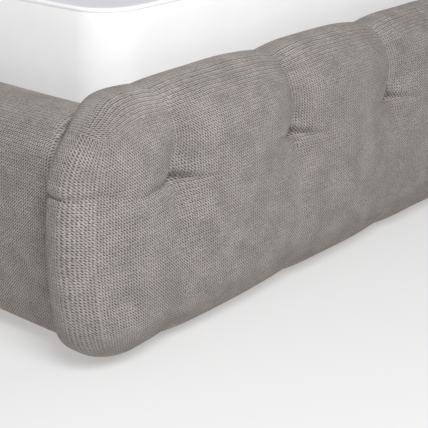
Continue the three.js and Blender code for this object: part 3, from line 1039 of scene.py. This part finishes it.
    def carve_frame_room(self, obj: bpy.types.Object) -> None:
        """Cuts out the room that the timber frame takes, and the doorway for the side rails."""
        reach = 0.05
        low, high = self.block.low, self.block.high
        front = low[1] + self.pocket_depth
        pocket_low = (-self.frame_half_width, front, low[2] - reach)
        pocket_high = (self.frame_half_width, high[1] + reach, self.pocket_top)
        boxes = [(pocket_low, pocket_high)]
        if self.door:
            _, rail_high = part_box("rail_core_right")
            side = rail_high.x + 0.3 * MM
            top = rail_high.z + 0.3 * MM
            boxes.append(((-side, low[1] - reach, low[2] - reach), (side, front + 1 * MM, top)))
        carved(obj, *boxes)

    def surface_y(self, x: np.ndarray, z: np.ndarray, toward: int) -> np.ndarray:
        """Gives the y of the panel's back (toward 1) or front (toward -1) face where a rail meets it."""
        across = np.stack([np.abs(x), np.zeros_like(x), z], axis=-1)
        low, high = self.block.lines()
        past = across - np.clip(across, low, high)
        reach = np.where(past[:, 2] < 0, self.block.reach_low[2], self.block.reach_high[2])
        share = np.hypot(past[:, 0] / self.block.reach_high[0], past[:, 2] / reach)
        round_off = 1 - np.sqrt(1 - np.minimum(share, 0.93) ** 2)
        if toward > 0:
            return self.block.high[1] - self.block.reach_high[1] * round_off - self.tapered(x)
        return self.block.low[1] + self.block.reach_low[1] * round_off


@dataclass
class RailCover:
    """The plain padded cover of a side rail, folded over its timber core."""

    side: int
    name: str
    node: str
    foot: TuftedPanel
    head: TuftedPanel
    seed: int
    step: float = 14 * MM
    slack: float = 0.3 * MM
    bottom_radius: float = 36 * MM
    top_radius: float = 62 * MM
    inner_radius: float = 44 * MM
    hem: float = 222 * MM
    hem_radius: float = 3 * MM
    end_gap: float = 1.5 * MM
    end_rows: tuple[float, ...] = (0, 1, 3, 6, 10, 16)
    puff: float = 13 * MM
    puff_from: float = 890 * MM
    curl: float = 12 * MM
    curl_depth: float = 11 * MM
    hub: tuple[float, float] = (845 * MM, 200 * MM)
    end_hub: tuple[float, float] = (898 * MM, 200 * MM)

    def corners(self) -> list[Corner]:
        """Lists the section's corners as (distance from the middle, height, radius)."""
        low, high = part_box(self.node)
        inner = min(abs(low.x), abs(high.x))
        outer = max(abs(low.x), abs(high.x))
        core_low, core_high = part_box(self.node.replace("pad", "core"))
        core_inner = min(abs(core_low.x), abs(core_high.x)) - self.slack
        core_outer = max(abs(core_low.x), abs(core_high.x)) + self.slack
        core_top = core_high.z + self.slack
        return [
            (core_outer, low.z, 0.0), (outer, low.z, self.bottom_radius), (outer, high.z, self.top_radius),
            (inner, high.z, self.inner_radius), (inner, self.hem, self.hem_radius),
            (core_inner, self.hem, 0.0), (core_inner, core_top, 0.0), (core_outer, core_top, 0.0),
        ]

    def outline(self) -> np.ndarray:
        """Rounds the section's corners, and gives it as a run of (distance from the middle, height)."""
        corners = self.corners()
        points: list[tuple[float, float]] = []
        for i, (x, z, radius) in enumerate(corners):
            if radius == 0.0:
                points.append((x, z))
                continue
            here = np.array((x, z))
            before = np.array(corners[i - 1][:2]) - here
            after = np.array(corners[(i + 1) % len(corners)][:2]) - here
            before /= np.linalg.norm(before)
            after /= np.linalg.norm(after)
            middle = here + radius * (before + after)
            count = max(3, round(radius * math.pi / 2 / (self.step * 0.6)))
            for turn in np.linspace(0, math.pi / 2, count + 1):
                points.append(tuple(middle - radius * (after * math.cos(turn) + before * math.sin(turn))))
        return self.divided(points)

    def divided(self, points: list[tuple[float, float]]) -> np.ndarray:
        """Divides the sides of a closed run of points into steps, and closes it."""
        filled: list[tuple[float, float]] = []
        for here, there in zip(points, points[1:] + points[:1]):
            parts = max(1, round(math.dist(here, there) / self.step))
            filled += [tuple(np.array(here) + (np.array(there) - np.array(here)) * i / parts)
                       for i in range(parts)]
        return np.array(filled + filled[:1])

    def rings(self, outline: np.ndarray) -> np.ndarray:
        """Runs the section from the foot panel's back to the headboard's front.

        Args:
            outline: The section.

        Returns:
            The points, ring by ring, closer together near both ends.
        """
        x, z = self.side * outline[:, 0], outline[:, 1]
        foot_y = self.foot.surface_y(x, z, 1) + self.end_gap
        head_y = self.head.surface_y(x, z, -1) - self.end_gap
        length = head_y.min() - foot_y.max()
        count = round(length / self.step)
        near = np.array(self.end_rows) * MM / length
        share = np.concatenate([near, np.linspace(0, 1, count + 1)[2:-2], 1 - near[::-1]])[:, None]
        y = foot_y[None, :] * (1 - share) + head_y[None, :] * share
        return np.stack([np.broadcast_to(x, y.shape), y, np.broadcast_to(z, y.shape)], axis=-1)

    def shaped(self, rings: np.ndarray) -> np.ndarray:
        """Puffs the outer side out, makes it a little uneven, and rolls it in at both ends.

        Args:
            rings: The plain points.

        Returns:
            The points of the finished cover.
        """
        y = rings[..., 1]
        from_end = np.minimum(y - y[0], y[-1] - y).reshape(-1)
        flat = rings.reshape(-1, 3).copy()
        across = np.abs(flat[:, 0])
        low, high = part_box(self.node)
        outer, crest = max(abs(low.x), abs(high.x)), high.z
        beyond_core = np.clip((across - 0.85) / 0.06, 0, 1)
        over_core = np.clip((flat[:, 2] - 0.30) / 0.03, 0, 1)
        outside = np.minimum(beyond_core + over_core, 1)
        uneven = outside * (0.9 * MM * ripples(flat, 0.22, self.seed) - 1.0 * MM)
        curl = np.clip(1 - from_end / self.curl, 0, 1)
        uneven -= outside * self.curl_depth * (1 - np.sqrt(1 - 0.98 * curl ** 2))
        belly = np.sin(math.pi * np.clip(flat[:, 2] / crest, 0, 1)) * (across > self.puff_from)
        flat[:, 0] += self.side * self.puff * belly * eased_step(across, self.puff_from, outer)
        outward = flat - np.array([self.side * self.hub[0], 0, self.hub[1]])
        outward[:, 1] = 0
        outward /= np.linalg.norm(outward, axis=1, keepdims=True)
        return (flat + outward * uneven[:, None]).reshape(rings.shape)

    def build(self, finishes: Finishes) -> bpy.types.Object:
        """Makes the cover.

        Args:
            finishes: The bed's finishes.

        Returns:
            The finished piece.
        """
        outline = self.outline()
        across = np.concatenate([[0], np.cumsum(np.linalg.norm(np.diff(outline, axis=0), axis=1))])
        rings = self.rings(outline)
        cloth = np.stack([rings[..., 1], np.broadcast_to(across, rings.shape[:2])], axis=-1)
        points = self.shaped(rings)
        patches = [Patch(points, cloth), self.end_patch(points[0]), self.end_patch(points[-1])]
        obj = mesh_object(self.name, patches, finishes.chenille)
        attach(obj, Body.BEDSTEAD.value)
        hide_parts(self.node)
        return obj

    def end_patch(self, loop: np.ndarray) -> Patch:
        """Closes an end with a fan from inside the padding's widest part."""
        hub = np.array([self.side * self.end_hub[0], loop[:, 1].mean(), self.end_hub[1]])
        fan = np.stack([loop, np.broadcast_to(hub, loop.shape)])
        return Patch(fan, fan[..., [0, 2]])


# ---------------------------------------------------------------- mattress


@dataclass
class Mattress:
    """A sprung mattress: a plain border, a soft top and base, and a taped edge round each."""

    node: str = "mattress"
    corner: float = 64 * MM
    edge: float = 8 * MM
    bulge: float = 3 * MM
    step: float = 20 * MM
    crown: float = -1 * MM
    tape_half_height: float = 3.4 * MM
    tape_half_width: float = 2.6 * MM

    def ring(self) -> tuple[np.ndarray, np.ndarray, np.ndarray]:
        """Goes once round the plan.

        Returns:
            The corner centres each point turns about, its outward direction, and its arc length.
        """
        low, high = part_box(self.node)
        x0, x1 = low.x + self.corner, high.x - self.corner
        y0, y1 = low.y + self.corner, high.y - self.corner
        nx, ny = round((x1 - x0) / self.step), round((y1 - y0) / self.step)
        turns = 10
        centres, outward = [], []
        sides = [((x0, y0), (x1, y0), nx, -90.0), ((x1, y0), (x1, y1), ny, 0.0),
                 ((x1, y1), (x0, y1), nx, 90.0), ((x0, y1), (x0, y0), ny, 180.0)]
        for start, stop, count, facing in sides:
            angle = math.radians(facing)
            for i in range(count + 1):
                share = i / count
                centres.append([start[k] * (1 - share) + stop[k] * share for k in (0, 1)])
                outward.append([math.cos(angle), math.sin(angle)])
            for i in range(1, turns):
                turned = angle + math.radians(90 * i / turns)
                centres.append(list(stop))
                outward.append([math.cos(turned), math.sin(turned)])
        centres.append(centres[0])
        outward.append(outward[0])
        centre, out = np.array(centres), np.array(outward)
        rim = centre + self.corner * out
        length = np.concatenate([[0], np.cumsum(np.linalg.norm(np.diff(rim, axis=0), axis=1))])
        return centre, out, length

    def shell(self, profile: list[tuple[float, float]]) -> Patch:
        """Sweeps a profile of (inset, height) round the plan."""
        centre, out, length = self.ring()
        inset, height = np.array(profile).T
        flat = centre[None] + out[None] * (self.corner - inset)[:, None, None]
        z = np.broadcast_to(height[:, None, None], (*flat.shape[:2], 1))
        points = np.concatenate([flat, z], axis=-1)
        rise = np.concatenate([[0], np.cumsum(np.hypot(np.diff(inset), np.diff(height)))])
        cloth = np.stack(np.broadcast_arrays(length[None, :], rise[:, None]), axis=-1)
        return Patch(points, cloth)

    def panel(self, height: float) -> Patch:
        """Fills the plan inside the corners' centres."""
        low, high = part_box(self.node)
        x0, x1 = low.x + self.corner, high.x - self.corner
        y0, y1 = low.y + self.corner, high.y - self.corner
        x = np.linspace(x0, x1, round((x1 - x0) / self.step) + 1)
        y = np.linspace(y0, y1, round((y1 - y0) / self.step) + 1)
        xs, ys = np.meshgrid(x, y, indexing="ij")
        points = np.stack([xs, ys, np.full_like(xs, height)], axis=-1)
        return Patch(points, points[..., :2].copy())

    def build(self, finishes: Finishes) -> bpy.types.Object:
        """Makes the mattress and its edge tapes.

        Args:
            finishes: The bed's finishes.

        Returns:
            The mattress.
        """
        low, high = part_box(self.node)
        bottom, top = low.z, high.z
        shell, base, lid = self.shell(self.profile(bottom, top)), self.panel(bottom), self.panel(top)
        for patch in (shell, lid):
            patch.points = self.softened(patch.points, top)
        obj = mesh_object("mattress_body", [shell, base, lid], finishes.border)
        obj.data.materials.append(finishes.top)
        self.paint_top(obj, top)
        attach(obj, Body.LOOSE_MATTRESS.value)
        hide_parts(self.node)
        tapes = {"mattress_tape_top": top - 3 * MM, "mattress_tape_bottom": bottom + 3 * MM}
        for name, height in tapes.items():
            tape = self.tape(name, height, finishes.border)
            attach(tape, Body.LOOSE_MATTRESS.value)
        return obj

    def profile(self, bottom: float, top: float) -> list[tuple[float, float]]:
        """Goes up the side from under the base's edge to over the top's.

        Args:
            bottom: The height of the base.
            top: The height of the top.

        Returns:
            Pairs of (inset, height).
        """
        straight = top - bottom - 2 * self.edge
        border = [(self.bulge * (1 - math.sin(math.pi * t)), bottom + self.edge + straight * t)
                  for t in np.linspace(0, 1, 9)]
        turns = np.radians(np.linspace(0, 90, 5))[1:]
        roll = [(self.bulge + self.edge * (1 - math.cos(t)), self.edge * (1 - math.sin(t))) for t in turns]
        lower = [(inset, bottom + rise) for inset, rise in reversed(roll)]
        upper = [(inset, top - rise) for inset, rise in roll]
        inward = np.linspace(self.bulge + self.edge, self.corner, 5)[1:]
        base = [(inset, bottom) for inset in reversed(inward)]
        lid = [(inset, top) for inset in inward]
        return base + lower + border + upper + lid

    def softened(self, points: np.ndarray, top: float) -> np.ndarray:
        """Crowns the top a little and lets it undulate."""
        flat = points.reshape(-1, 3).copy()
        low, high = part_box(self.node)
        inside = np.minimum.reduce([flat[:, 0] - low.x, high.x - flat[:, 0], flat[:, 1] - low.y,
                                    high.y - flat[:, 1]])
        share = eased_step(inside, 20 * MM, 140 * MM) * (flat[:, 2] > top - 1 * MM)
        flat[:, 2] += share * (self.crown + 1.5 * MM * ripples(flat, 0.5, 71))
        return flat.reshape(points.shape)

    def paint_top(self, obj: bpy.types.Object, top: float) -> None:
        """Gives the top panel its own cloth."""
        for face in obj.data.polygons:
            if face.center.z > top - 3 * MM and face.normal.z > 0.5:
                face.material_index = 1

    def tape(self, name: str, height: float, material: bpy.types.Material) -> bpy.types.Object:
        """Makes the narrow rounded tape that binds an edge.

        Args:
            name: The piece's name.
            height: The height of its middle.
            material: Its finish.

        Returns:
            The tape.
        """
        inset = 4.5 * MM
        profile = [(inset - self.tape_half_width * math.cos(t), height + self.tape_half_height * math.sin(t))
                   for t in np.linspace(0, 2 * math.pi, 11)]
        return mesh_object(name, [self.shell(profile)], material)


# ---------------------------------------------------------------- frame and fittings


Look = tuple[str, bpy.types.Material, float, Slot, Body]


@dataclass
class FramePieces:
    """The timber, board, steel and plastic pieces, with eased edges and their finishes."""

    wood_easing: float = 2.0 * MM
    board_easing: float = 0.8 * MM
    steel_easing: float = 0.5 * MM
    slat_easing: float = 3.0 * MM
    cover_easing: float = 2.0 * MM

    def looks(self, finishes: Finishes) -> list[Look]:
        """Lists how each family of nodes looks; the first that fits a node's name counts."""
        wood, board, steel = self.wood_easing, self.board_easing, self.steel_easing
        return [
            ("slat_tape_", finishes.webbing, 0.0, Slot.WEBBING, Body.SLATTED_BASE),
            ("slat_", finishes.slat, self.slat_easing, Slot.SLAT_WOOD, Body.SLATTED_BASE),
            ("foot_front_board", finishes.plywood, board, Slot.PLYWOOD, Body.BEDSTEAD),
            ("head_front_board", finishes.plywood, board, Slot.PLYWOOD, Body.BEDSTEAD),
            ("rail_core_", finishes.plywood, board, Slot.PLYWOOD, Body.BEDSTEAD),
            ("rail_ledge_", finishes.pine["y"], wood, Slot.PINE, Body.BEDSTEAD),
            ("foot_post_", finishes.pine["z"], wood, Slot.PINE, Body.BEDSTEAD),
            ("head_post_", finishes.pine["z"], wood, Slot.PINE, Body.BEDSTEAD),
            ("foot_top_rail", finishes.pine["x"], wood, Slot.PINE, Body.BEDSTEAD),
            ("foot_bottom_rail", finishes.pine["x"], wood, Slot.PINE, Body.BEDSTEAD),
            ("head_batten_", finishes.pine["x"], wood, Slot.PINE, Body.BEDSTEAD),
            ("bracket_", finishes.steel, steel, Slot.BLACK_STEEL, Body.BEDSTEAD),
            ("beam_hanger_", finishes.steel, steel, Slot.BLACK_STEEL, Body.BEDSTEAD),
            ("centre_beam", finishes.steel, steel, Slot.BLACK_STEEL, Body.BEDSTEAD),
            ("centre_leg_", finishes.steel, 0.0, Slot.BLACK_STEEL, Body.BEDSTEAD),
            ("corner_foot_", finishes.plastic, 0.0, Slot.FOOT_PLASTIC, Body.BEDSTEAD),
            ("bolt_", finishes.zinc, 0.0, Slot.ZINC, Body.BEDSTEAD),
            ("head_back_cover", finishes.lining, self.cover_easing, Slot.LINING, Body.BEDSTEAD),
        ]

    def dress(self, finishes: Finishes) -> list[bpy.types.Object]:
        """Makes an eased copy of each hard node.

        Args:
            finishes: The bed's finishes.

        Returns:
            The pieces.
        """
        looks = self.looks(finishes)
        made = []
        for node in sorted(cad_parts):
            look = next((row for row in looks if node.startswith(row[0])), None)
            if look is None:
                continue
            _, material, easing, slot, body = look
            piece = self.eased(node, easing, material)
            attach(piece, body.value)
            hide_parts(node)
            made.append(piece)
        return made

    def eased(self, node: str, easing: float, material: bpy.types.Material) -> bpy.types.Object:
        """Copies a node's shape with its sharp edges eased.

        Args:
            node: The CAD node.
            easing: The width of the easing, or 0 for none.
            material: The piece's finish.

        Returns:
            The copy.
        """
        mesh = bpy.data.meshes.new(f"{node}_piece")
        work = bmesh.new()
        work.from_mesh(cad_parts[node].data)
        bmesh.ops.remove_doubles(work, verts=work.verts, dist=0.02 * MM)
        bmesh.ops.dissolve_limit(work, angle_limit=math.radians(1.0), verts=work.verts, edges=work.edges)
        if easing > 0:
            least = math.radians(50)
            sharp = [e for e in work.edges if len(e.link_faces) == 2 and e.calc_face_angle() > least]
            bmesh.ops.bevel(work, geom=sharp, offset=easing, offset_type="OFFSET", segments=2, profile=0.5,
                            affect="EDGES", clamp_overlap=True)
        work.to_mesh(mesh)
        work.free()
        mesh.materials.clear()
        mesh.materials.append(material)
        obj = bpy.data.objects.new(f"{node}_piece", mesh)
        bpy.context.scene.collection.objects.link(obj)
        mesh.shade_smooth()
        mesh.set_sharp_from_angle(angle=math.radians(35))
        return obj


@dataclass
class InnerCover:
    """The thin padded panel that lines the foot panel's inner face."""

    node: str = "foot_inner_cover"

    def build(self, finishes: Finishes) -> bpy.types.Object:
        """Makes the panel."""
        low, high = (np.array(corner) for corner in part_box(self.node))
        soft = np.full(3, 9 * MM)
        patches = RoundedBlock(low, high, soft, soft, 16 * MM).patches()
        obj = mesh_object("foot_inner_lining", patches, finishes.chenille)
        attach(obj, Body.BEDSTEAD.value)
        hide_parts(self.node)
        return obj


# ---------------------------------------------------------------- studio


@dataclass
class Studio:
    """The pale floor, soft light and camera."""

    eye: Corner = (-1.8892, -2.1348, 0.7786)
    heading: float = 40.63
    dip: float = 21.35
    lens: float = 99.3
    floor_size: float = 60.0
    surround: float = 0.34
    key_place: Corner = (-1.55, -2.4, 1.8)
    key_target: Corner = (-0.85, -1.1, 0.2)
    key_size: float = 1.1
    key_watts: float = 42.5

    def build(self) -> None:
        """Makes the floor, the lights and the camera."""
        self.place_camera()
        self.lay_floor()
        self.light()

    def place_camera(self) -> None:
        """Looks down at the foot corner from outside its left end."""
        data = bpy.data.cameras.new("camera")
        data.lens = self.lens
        data.sensor_width = 36.0
        data.clip_end = 200.0
        camera = bpy.data.objects.new("camera", data)
        bpy.context.scene.collection.objects.link(camera)
        camera.location = self.eye
        camera.rotation_euler = (math.radians(90 - self.dip), 0.0, math.radians(self.heading - 90))
        bpy.context.scene.camera = camera

    def lay_floor(self) -> None:
        """Lays a wide plain floor."""
        half = self.floor_size / 2
        mesh = bpy.data.meshes.new("studio_floor")
        mesh.from_pydata([(-half, -half, 0), (half, -half, 0), (half, half, 0), (-half, half, 0)], [],
                         [(0, 1, 2, 3)])
        mesh.materials.append(StudioFinish().build())
        floor = bpy.data.objects.new("studio_floor", mesh)
        bpy.context.scene.collection.objects.link(floor)

    def light(self) -> None:
        """Sets a bright even surround and one broad soft key."""
        world = bpy.data.worlds.new("surround")
        world.use_nodes = True
        background = world.node_tree.nodes["Background"]
        background.inputs[0].default_value = (1.0, 1.0, 1.0, 1.0)
        background.inputs[1].default_value = self.surround
        bpy.context.scene.world = world
        self.hang_key()
        view = bpy.context.scene.view_settings
        view.view_transform = "Standard"
        view.look = "None"
        view.exposure = 0.0
        view.gamma = 1.0

    def hang_key(self) -> None:
        """Hangs a square soft light that faces the foot corner."""
        data = bpy.data.lights.new("key", "AREA")
        data.shape = "SQUARE"
        data.size = self.key_size
        data.energy = self.key_watts
        lamp = bpy.data.objects.new("key", data)
        bpy.context.scene.collection.objects.link(lamp)
        lamp.location = self.key_place
        aim = Vector(self.key_target) - Vector(self.key_place)
        lamp.rotation_euler = aim.to_track_quat("-Z", "Y").to_euler()


# ---------------------------------------------------------------- the bed

# how deep the channel through a tuft is at each place up the section, both in millimetres
FOOT_CHANNEL = (
    (-60, 0), (-30, 3), (20, 8), (60, 6), (131, 3), (194, 7), (222, 16), (245, 24), (275, 24), (330, 21),
    (375, 15), (408, 11), (440, 8), (480, 7), (520, 5), (570, 2), (600, 0),
)
HEAD_CHANNEL = (
    (300, 0), (400, 4), (460, 12), (486, 15), (540, 9), (610, 8), (680, 9), (732, 15), (790, 9),
    (855, 8), (925, 10), (978, 16), (1028, 20), (1065, 21), (1100, 20), (1160, 17), (1210, 12), (1260, 4),
    (1300, 0),
)


def upholstery() -> list[TuftedPanel | RailCover | InnerCover]:
    """Lists the padded pieces of the bedstead."""
    foot = TuftedPanel("foot_upholstery", "foot_pad", rows=(245 * MM,), pocket_depth=50 * MM,
                       pocket_top=311.3 * MM, channel=FOOT_CHANNEL, seed=5, end_taper=24 * MM)
    head = TuftedPanel("head_upholstery", "head_pad", rows=(486 * MM, 732 * MM, 978 * MM),
                       pocket_depth=60 * MM, pocket_top=1040.3 * MM, channel=HEAD_CHANNEL, seed=11,
                       door=True, step=17 * MM, reach_high=(105 * MM, 60 * MM, 100 * MM), end_lean=0.0)
    rails = [RailCover(-1, "rail_upholstery_left", "rail_pad_left", foot, head, seed=41),
             RailCover(1, "rail_upholstery_right", "rail_pad_right", foot, head, seed=47)]
    return [foot, head, *rails, InnerCover()]


def main() -> None:
    """Builds the studio and every piece of the bed."""
    logging.basicConfig(level=logging.INFO, format="%(name)s: %(message)s")
    Studio().build()
    finishes = Finishes()
    for piece in upholstery():
        obj = piece.build(finishes)
        LOG.info("%s: %d faces", obj.name, len(obj.data.polygons))
    obj = Mattress().build(finishes)
    LOG.info("%s: %d faces", obj.name, len(obj.data.polygons))
    for obj in FramePieces().dress(finishes):
        LOG.info("%s: %d faces", obj.name, len(obj.data.polygons))


if __name__ == "__main__":
    main()
